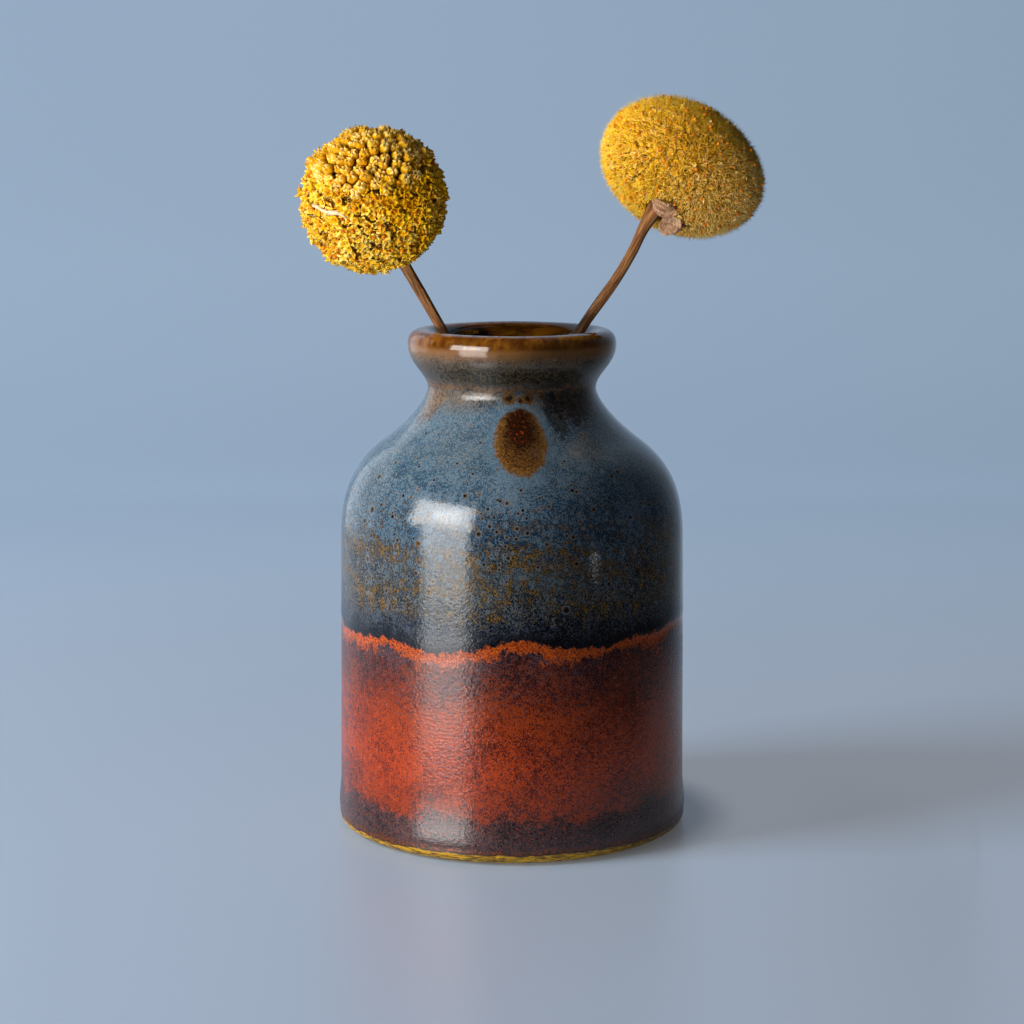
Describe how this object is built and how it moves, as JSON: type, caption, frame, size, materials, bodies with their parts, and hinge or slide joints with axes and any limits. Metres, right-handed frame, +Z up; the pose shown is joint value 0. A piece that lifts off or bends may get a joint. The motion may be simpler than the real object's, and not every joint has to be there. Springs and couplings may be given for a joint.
{
  "type": "ceramic bud vase",
  "caption": "Cylindrical glazed stoneware bud vase with a round shoulder, narrow throat and flared lip, holding loose dried billy button flowers that lift out.",
  "frame": {"origin": "on the vase's axis, in the plane that the foot ring stands on", "axes": "+Z up along the vase's axis, -X towards the left flower, +X towards the right flower, -Y towards the viewer"},
  "size_m": [0.0879, 0.067, 0.1389],
  "materials": {
    "glaze": "glossy mottled reactive glaze, amber lip, blue shoulder, dark band and orange line, rust red below",
    "stem": "dry woody stalk with lengthwise grain",
    "receptacle": "dry pithy core",
    "left_florets": "matt golden yellow buds and open florets",
    "right_florets": "matt golden yellow open florets with pale bristles",
    "bract": "thin brown papery bract"
  },
  "bodies": {
    "vase": {"vase_body": "glaze"},
    "left_flower": {"left_stem": "stem", "left_receptacle": "receptacle", "left_florets": "left_florets", "left_bract_1": "bract", "left_bract_2": "bract", "left_bract_3": "bract", "left_bract_4": "bract", "left_bract_5": "bract"},
    "right_flower": {"right_stem": "stem", "right_receptacle": "receptacle", "right_florets": "right_florets", "right_bract_1": "bract", "right_bract_2": "bract", "right_bract_3": "bract", "right_bract_4": "bract", "right_bract_5": "bract"}
  },
  "joints": [
    {"name": "left_flower_lift", "type": "slide", "parent": "vase", "child": "left_flower", "axis": [-0.393, 0, 0.9195], "range_m": [0, 0.105]},
    {"name": "right_flower_lift", "type": "slide", "parent": "vase", "child": "right_flower", "axis": [0.391, 0, 0.9204], "range_m": [0, 0.105]}
  ]
}
